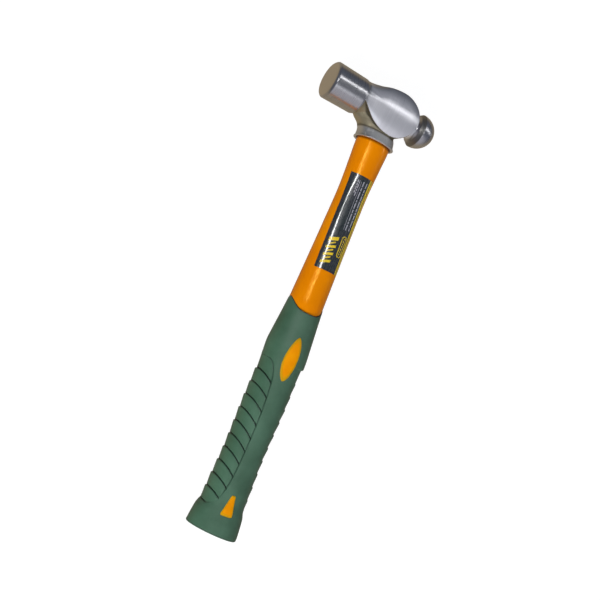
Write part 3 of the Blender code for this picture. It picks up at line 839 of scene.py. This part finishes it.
# ---- materials -----------------------------------------------------------------------------
class Nodes:
    """Short way to build a material's node tree round its Principled shader."""

    def __init__(self, name, colour, roughness, metallic=0.0):
        self.material = bpy.data.materials.new(name)
        self.material.use_nodes = True
        self.tree = self.material.node_tree
        self.shader = self.tree.nodes["Principled BSDF"]
        self.constant("Base Color", (*colour, 1))
        self.constant("Roughness", roughness)
        self.constant("Metallic", metallic)

    def add(self, kind, **values):
        node = self.tree.nodes.new(kind)
        for key, value in values.items():
            if key in node.inputs:
                node.inputs[key].default_value = value
            else:
                setattr(node, key, value)
        return node

    def constant(self, name, value):
        self.shader.inputs[name].default_value = value

    def link(self, source, target):
        self.tree.links.new(source, target)

    def place(self, scale):
        """Object coordinates scaled along each axis."""
        where = self.add("ShaderNodeTexCoord")
        mapping = self.add("ShaderNodeMapping")
        mapping.inputs["Scale"].default_value = scale
        self.link(where.outputs["Object"], mapping.inputs["Vector"])
        return mapping.outputs["Vector"]

    def noise(self, scale, detail=2.0, roughness=0.5):
        if not hasattr(scale, "__len__"):
            scale = (scale, scale, scale)
        node = self.add("ShaderNodeTexNoise", Detail=detail, Roughness=roughness)
        node.inputs["Scale"].default_value = 1.0
        self.link(self.place(scale), node.inputs["Vector"])
        return node.outputs["Fac"]

    def spread(self, value, low, high, to_low=0.0, to_high=1.0):
        """Stretches low to high over to_low to to_high, and clamps beyond."""
        node = self.add("ShaderNodeMapRange")
        keys = ("From Min", "From Max", "To Min", "To Max")
        for key, number in zip(keys, (low, high, to_low, to_high)):
            node.inputs[key].default_value = number
        self.link(value, node.inputs["Value"])
        return node.outputs["Result"]

    def feed(self, node, *pairs):
        """Sets sockets, by their index, to a number or a colour, or links an output to them."""
        for index, value in pairs:
            socket = node.inputs[index]
            if isinstance(value, tuple):
                socket.default_value = (*value, 1)
            elif isinstance(value, (int, float)):
                socket.default_value = value
            else:
                self.link(value, socket)
        return node

    def maths(self, operation, a, b):
        return self.feed(self.add("ShaderNodeMath", operation=operation), (0, a), (1, b)).outputs[0]

    def mix(self, share, a, b):
        """Mixes two colours."""
        node = self.add("ShaderNodeMix", data_type="RGBA")
        return self.feed(node, (0, share), (6, a), (7, b)).outputs[2]

    def fade(self, share, a, b):
        """Mixes two numbers."""
        node = self.add("ShaderNodeMix", data_type="FLOAT")
        return self.feed(node, (0, share), (2, a), (3, b)).outputs[0]

    def attribute(self, name):
        return self.add("ShaderNodeAttribute", attribute_name=name).outputs["Fac"]

    def axis(self, name):
        """One of the piece's own X, Y and Z coordinates."""
        where = self.add("ShaderNodeTexCoord")
        split = self.add("ShaderNodeSeparateXYZ")
        self.link(where.outputs["Object"], split.inputs["Vector"])
        return split.outputs[name]

    def bump(self, height, strength, distance, before=None):
        node = self.add("ShaderNodeBump")
        node.inputs["Strength"].default_value = strength
        node.inputs["Distance"].default_value = distance
        self.link(height, node.inputs["Height"])
        if before is not None:
            self.link(before, node.inputs["Normal"])
        return node.outputs["Normal"]

    def paint(self, colour=None, roughness=None, normal=None):
        for value, key in ((colour, "Base Color"), (roughness, "Roughness"), (normal, "Normal")):
            if value is not None:
                self.link(value, self.shader.inputs[key])
        return self.material


def at_u(u):
    """The frame's X of a distance from the butt, in metres."""
    return float(place(u, 0, 0)[0])


def at_v(v):
    """The frame's Y of a reach in mm."""
    return float(place(0, v * MM, 0)[1])


def steel_material():
    """Satin ground cheeks, brighter turned poll and ball, and a brown forged web and grey skirt."""
    n = Nodes("ground_steel", (0.55, 0.55, 0.6), 0.3, 1.0)

    def past(start, full):
        """Rises from 0 at one reach, in mm, to 1 at the next."""
        return n.spread(v, at_v(start), at_v(full))

    forged = n.attribute("forged")
    grind = n.noise((90, 5200, 90), 3.0, 0.6)
    streaks = n.noise((60, 900, 60), 3.0, 0.65)
    cloud = n.noise(110, 3.0)
    grit = n.noise(2600, 2.0, 0.7)
    v = n.axis("Y")
    polished = n.maths("MAXIMUM", past(22.5, 24.5), past(-23.0, -25.0))
    low = n.spread(n.axis("X"), at_u(HEAD_AXIS_U + SKIRT_TOP), at_u(HEAD_AXIS_U + SKIRT_TOP - 1.2 * MM))
    lines = n.maths("ADD", n.maths("MULTIPLY", grind, 0.5), n.maths("MULTIPLY", streaks, 0.5))
    satin = n.mix(n.spread(lines, 0.35, 0.65), (0.84, 0.84, 0.88), (0.94, 0.94, 0.98))
    bright = n.mix(n.spread(lines, 0.35, 0.65), (0.60, 0.60, 0.62), (0.70, 0.70, 0.72))
    # Painted shade: the satin cheeks darken towards their upper edge.
    satin = n.mix(n.maths("MULTIPLY", n.attribute("painted_cheek_top_shade"), 0.75), satin, (0.26, 0.27, 0.31))
    ground = n.mix(polished, satin, bright)
    web = n.mix(n.spread(cloud, 0.35, 0.65), (0.50, 0.44, 0.29), (0.62, 0.54, 0.38))
    rough_skin = n.mix(n.spread(grit, 0.3, 0.7), (0.62, 0.62, 0.61), (0.80, 0.79, 0.77))
    colour = n.mix(forged, ground, n.mix(low, web, rough_skin))
    # Painted shade in the creases round the cheeks and over the skirt.
    crease = n.maths("MULTIPLY", n.attribute("crease"), 0.85)
    colour = n.mix(crease, colour, (0.09, 0.085, 0.075))
    # Painted shade: the ball's band round its base is darker. The band is also rougher, below.
    band = n.maths("MULTIPLY", past(-25.2, -25.9), past(-28.9, -28.4))
    colour = n.mix(band, colour, (0.36, 0.35, 0.33))
    # Painted reflection: the striking face is tinted warm and pale like the table it mirrors. The face
    # is also a little rougher, below.
    face = past(51.5, 51.9)
    colour = n.mix(face, colour, (0.80, 0.76, 0.70))
    satin_rough = n.spread(lines, 0.3, 0.7, 0.27, 0.36)
    bright_rough = n.spread(lines, 0.3, 0.7, 0.26, 0.31)
    rough = n.fade(polished, satin_rough, bright_rough)
    rough = n.fade(band, n.fade(face, rough, 0.35), 0.5)
    web_rough = n.spread(grit, 0.2, 0.8, 0.42, 0.56)
    skirt_rough = n.spread(grit, 0.2, 0.8, 0.26, 0.40)
    rough = n.fade(forged, rough, n.fade(low, web_rough, skirt_rough))
    n.link(n.fade(forged, n.fade(polished, 0.72, 1.0), 0.86), n.shader.inputs["Metallic"])
    along_head = n.add("ShaderNodeCombineXYZ", Y=1.0)
    n.link(along_head.outputs[0], n.shader.inputs["Tangent"])
    n.constant("Anisotropic", 0.4)
    sparkle = n.maths("MULTIPLY", grit, n.fade(polished, 1.0, 0.0))
    fine = n.bump(sparkle, 0.12, 0.00015, n.bump(lines, 0.02, 0.00005))
    coarse = n.bump(n.maths("MULTIPLY", grit, forged), 0.5, 0.00025, fine)
    return n.paint(colour, rough, coarse)


def orange_material():
    n = Nodes("orange_moulding", (0.80, 0.25, 0.004), 0.3)
    cloud = n.noise(35, 3.0)
    colour = n.mix(n.spread(cloud, 0.3, 0.7), (0.89, 0.235, 0.0), (0.99, 0.305, 0.0))
    rim_u = HEAD_AXIS_U - SKIRT_DEPTH
    # Painted shadow: the orange darkens just under the skirt's rim.
    painted_skirt_shadow = n.spread(n.axis("X"), at_u(rim_u - 1.8 * MM), at_u(rim_u - 0.3 * MM))
    colour = n.mix(painted_skirt_shadow, colour, (0.26, 0.07, 0.0))
    ripple = n.noise((120, 420, 420), 2.0)
    grain = n.noise(3200, 2.0, 0.6)
    normal = n.bump(grain, 0.05, 0.0001, n.bump(ripple, 0.25, 0.0004))
    n.constant("Specular IOR Level", 0.7)
    n.constant("Specular Tint", (1.0, 0.62, 0.12, 1.0))
    return n.paint(colour, n.spread(grain, 0.2, 0.8, 0.16, 0.22), normal)


def rubber_material():
    n = Nodes("green_soft_grip", (0.06, 0.14, 0.09), 0.6)
    cloud = n.noise(60, 4.0, 0.6)
    grain = n.noise(5200, 3.0, 0.7)
    speck = n.noise(900, 2.0, 0.6)
    colour = n.mix(n.spread(cloud, 0.3, 0.7), (0.042, 0.116, 0.062), (0.072, 0.172, 0.102))
    colour = n.mix(n.spread(speck, 0.35, 0.8, 0.0, 0.25), colour, (0.085, 0.185, 0.130))
    # Painted shade: dark in the grooves and border lines, round the butt's rim and along the seam under
    # the jacket.
    colour = n.mix(n.attribute("groove"), colour, (0.006, 0.020, 0.013))
    n.constant("Specular IOR Level", 0.9)
    n.constant("Sheen Weight", 0.03)
    n.constant("Sheen Roughness", 0.5)
    normal = n.bump(grain, 0.35, 0.00008, n.bump(speck, 0.12, 0.0002))
    return n.paint(colour, n.spread(speck, 0.2, 0.8, 0.44, 0.60), normal)


def inlay_material():
    n = Nodes("inlay_orange", (0.83, 0.29, 0.005), 0.42)
    cloud = n.noise(180, 3.0)
    grain = n.noise(4200, 2.0)
    colour = n.mix(n.spread(cloud, 0.3, 0.7), (0.97, 0.32, 0.0), (1.0, 0.37, 0.0))
    colour = n.mix(n.attribute("edge"), colour, (0.66, 0.36, 0.008))
    n.constant("Specular IOR Level", 0.08)
    return n.paint(colour, n.spread(grain, 0.2, 0.8, 0.36, 0.5), n.bump(grain, 0.15, 0.00008))


def film_material():
    n = Nodes("label_black_film", (0.02, 0.025, 0.028), 0.2)
    cloud = n.noise((60, 200, 200), 3.0)
    colour = n.mix(n.spread(cloud, 0.3, 0.7), (0.020, 0.031, 0.032), (0.042, 0.046, 0.056))
    wave = n.noise((260, 700, 700), 2.0)
    n.constant("Coat Weight", 1.0)
    n.constant("Coat Roughness", 0.06)
    return n.paint(colour, n.spread(wave, 0.2, 0.8, 0.22, 0.34), n.bump(wave, 0.08, 0.0002))


def ink_material(name, colour):
    n = Nodes(name, colour, 0.3)
    cloud = n.noise(900, 2.0)
    darker = tuple(0.8 * c for c in colour)
    n.constant("Coat Weight", 0.5)
    n.constant("Coat Roughness", 0.06)
    patchy = n.mix(n.spread(cloud, 0.3, 0.7), darker, colour)
    return n.paint(patchy, n.spread(cloud, 0.2, 0.8, 0.25, 0.38))


def resin_material():
    n = Nodes("eye_epoxy", (0.16, 0.10, 0.05), 0.25)
    cloud = n.noise(500, 3.0)
    colour = n.mix(n.spread(cloud, 0.3, 0.7), (0.10, 0.055, 0.02), (0.20, 0.12, 0.05))
    return n.paint(colour, n.spread(cloud, 0.2, 0.8, 0.15, 0.35), n.bump(cloud, 0.4, 0.0004))


def fibre_material():
    n = Nodes("glass_fibre_end", (0.6, 0.55, 0.35), 0.5)
    dots = n.noise(3500, 2.0)
    colour = n.mix(n.spread(dots, 0.35, 0.65), (0.42, 0.36, 0.20), (0.72, 0.66, 0.45))
    return n.paint(colour, n.spread(dots, 0.2, 0.8, 0.4, 0.6), n.bump(dots, 0.4, 0.0001))


def paper_material(name, grain_scale, shades, glow):
    """Matt white that glows a little, so that it stays pale where less light falls on it."""
    n = Nodes(name, (0.2, 0.2, 0.2), 0.95)
    grain = n.noise(grain_scale, 2.0)
    n.constant("Specular IOR Level", 0.0)
    n.constant("Emission Color", (1, 1, 1, 1))
    n.constant("Emission Strength", glow)
    low, high = ((shade, shade, shade) for shade in shades)
    return n.paint(n.mix(n.spread(grain, 0.3, 0.7), low, high))


def paint_cad_node(node, material):
    """Gives a CAD node that is shown as it is its material."""
    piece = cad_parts[node]
    piece.data.materials.clear()
    piece.data.materials.append(material)


# ---- floor, light and camera ---------------------------------------------------------------
CAMERA_AT = (0.12287, 0.28492, 0.59640)
CAMERA_TARGET = (0.17553, 0.00535, -0.00018)
CAMERA_LENS = 55.18
CAMERA_LEAN = math.radians(25.22)


def make_floor():
    """A plain white floor, kept out of the steel's reflections."""
    size = 4.0
    mesh = bpy.data.meshes.new("floor")
    corners = [(-size, -size, 0), (size, -size, 0), (size, size, 0), (-size, size, 0)]
    mesh.from_pydata(corners, [], [(0, 1, 2, 3)])
    floor = add_object("floor", mesh)
    mesh.materials.append(paper_material("floor_paper", 40, (0.19, 0.21), 0.92))
    floor.visible_glossy = False
    floor.visible_diffuse = False


def make_backdrop():
    """A pale curved wall far off on every side. It neither lights nor shades the hammer."""
    sweep = ((3.4, -0.002), (3.6, 0.03), (3.8, 0.12), (3.95, 0.3), (4.0, 0.6), (4.0, 5.0))
    a = turn_angles(96)
    rings = [np.stack([r * np.cos(a), r * np.sin(a), height + 0 * a], axis=1) for r, height in sweep]
    wall = skin("backdrop", rings, capped=False)
    wall.data.materials.append(paper_material("backdrop_paper", 20, (0.04, 0.05), 0.97))
    wall.visible_glossy = False
    wall.visible_diffuse = False
    wall.visible_shadow = False


def add_light(name, where, aim, size, power, colour=(1, 1, 1)):
    """An area light at hammer coordinates in metres, facing another point there."""
    light = bpy.data.lights.new(name, "AREA")
    light.shape = "RECTANGLE"
    light.size, light.size_y = size
    light.energy = power
    light.color = colour
    made = add_object(name, light)
    where, aim = (Vector(place(*p).tolist()) for p in (where, aim))
    facing = (aim - where).to_track_quat("-Z", "Y").to_matrix().to_4x4()
    made.matrix_world = Matrix.Translation(where) @ facing
    return made


def add_tube(name, where, along, size, power):
    """A long straight lamp, facing down, whose length runs along a direction in the table plane."""
    tube = add_light(name, where, (where[0], where[1], 0.0), size, power)
    heading = math.atan2(along[1], along[0]) - math.pi / 2
    spot = Matrix.Translation(Vector(place(*where).tolist()))
    tube.matrix_world = spot @ Matrix.Rotation(heading, 4, "Z")


def make_world():
    """A dim room with a warm table below and one broad bright side, which the steel mirrors."""
    world = bpy.data.worlds.new("studio")
    bpy.context.scene.world = world
    world.use_nodes = True
    tree = world.node_tree
    background = tree.nodes["Background"]
    where = tree.nodes.new("ShaderNodeTexCoord")

    def ramp_along(direction, stops):
        """Colours by how far a ray points along a direction, from -1 (away) to 1."""
        towards = tree.nodes.new("ShaderNodeVectorMath")
        towards.operation = "DOT_PRODUCT"
        towards.inputs[1].default_value = Vector(direction).normalized()
        shift = tree.nodes.new("ShaderNodeMapRange")
        shift.inputs["From Min"].default_value = -1.0
        ramp = tree.nodes.new("ShaderNodeValToRGB")
        tree.links.new(where.outputs["Generated"], towards.inputs[0])
        tree.links.new(towards.outputs["Value"], shift.inputs["Value"])
        tree.links.new(shift.outputs["Result"], ramp.inputs["Fac"])
        while len(ramp.color_ramp.elements) < len(stops):
            ramp.color_ramp.elements.new(0.5)
        for element, (height, colour) in zip(ramp.color_ramp.elements, stops):
            element.position = (height + 1) / 2
            element.color = (*colour, 1)
        return ramp.outputs["Color"]

    room = ramp_along((0, 0, 1), (
        (-1.0, (0.34, 0.28, 0.20)), (-0.14, (0.26, 0.22, 0.16)), (-0.03, (0.09, 0.08, 0.08)),
        (0.12, (0.08, 0.09, 0.11)), (0.5, (0.09, 0.10, 0.13)), (1.0, (0.09, 0.095, 0.11)),
    ))
    bright_side = ramp_along((-0.80, -0.42, 0.42), (
        (0.30, (0.0, 0.0, 0.0)), (0.74, (0.03, 0.03, 0.035)), (0.95, (0.34, 0.32, 0.33)),
    ))
    both = tree.nodes.new("ShaderNodeMix")
    both.data_type = "RGBA"
    both.blend_type = "ADD"
    both.inputs[0].default_value = 1.0
    tree.links.new(room, both.inputs[6])
    tree.links.new(bright_side, both.inputs[7])
    tree.links.new(both.outputs[2], background.inputs["Color"])


def make_lights():
    """A soft key, a sheen on the grip, and two tubes that draw the lines on the steel and label."""
    middle = (OVERALL_LENGTH / 2, 0.0, 0.0)
    key = add_light("key", (-1.50, 1.00, 1.15), middle, (1.2, 1.2), 42.0, (0.97, 0.98, 1.0))
    fill = add_light("fill", (0.10, -0.60, 1.0), middle, (0.9, 0.9), 0.3)
    key.visible_glossy = False
    fill.visible_glossy = False
    panel_at, panel_aim = (-0.26, -0.16, 1.0), (-0.16, -0.1, 0.0)
    panel = add_light("window_panel", panel_at, panel_aim, (0.4, 0.36), 0.55, (0.93, 0.96, 1.0))
    panel.visible_camera = False
    add_tube("window_strip", (0.418, 0.375, 1.0), (0.35, 0.935), (0.045, 0.56), 2.2)
    add_tube("bench_strip", (0.875, -1.475, 1.0), (0.02, -1.0), (0.14, 2.5), 3.9)


def make_camera():
    """The photograph's viewpoint. The picture's up leans from the handle towards the face."""
    camera = add_object("camera", bpy.data.cameras.new("camera"))
    camera.data.sensor_width = 36
    camera.data.lens = CAMERA_LENS
    camera.data.clip_start, camera.data.clip_end = 0.05, 20
    where, target = (Vector(place(*p).tolist()) for p in (CAMERA_AT, CAMERA_TARGET))
    back = (where - target).normalized()
    up_hint = Vector((math.cos(CAMERA_LEAN), math.sin(CAMERA_LEAN), 0))
    right = up_hint.cross(back).normalized()
    up = back.cross(right)
    camera.matrix_world = Matrix.Translation(where) @ Matrix((right, up, back)).transposed().to_4x4()
    bpy.context.scene.camera = camera


def make_all():
    """The whole scene, one piece after another."""
    make_head()
    make_jacket()
    make_grip()
    make_inlays()
    make_label()
    make_print()
    paint_cad_node("eye_resin", resin_material())
    paint_cad_node("core_rod", fibre_material())
    make_floor()
    make_backdrop()
    make_world()
    make_lights()
    make_camera()
    bpy.context.scene.view_settings.view_transform = "Standard"


make_all()
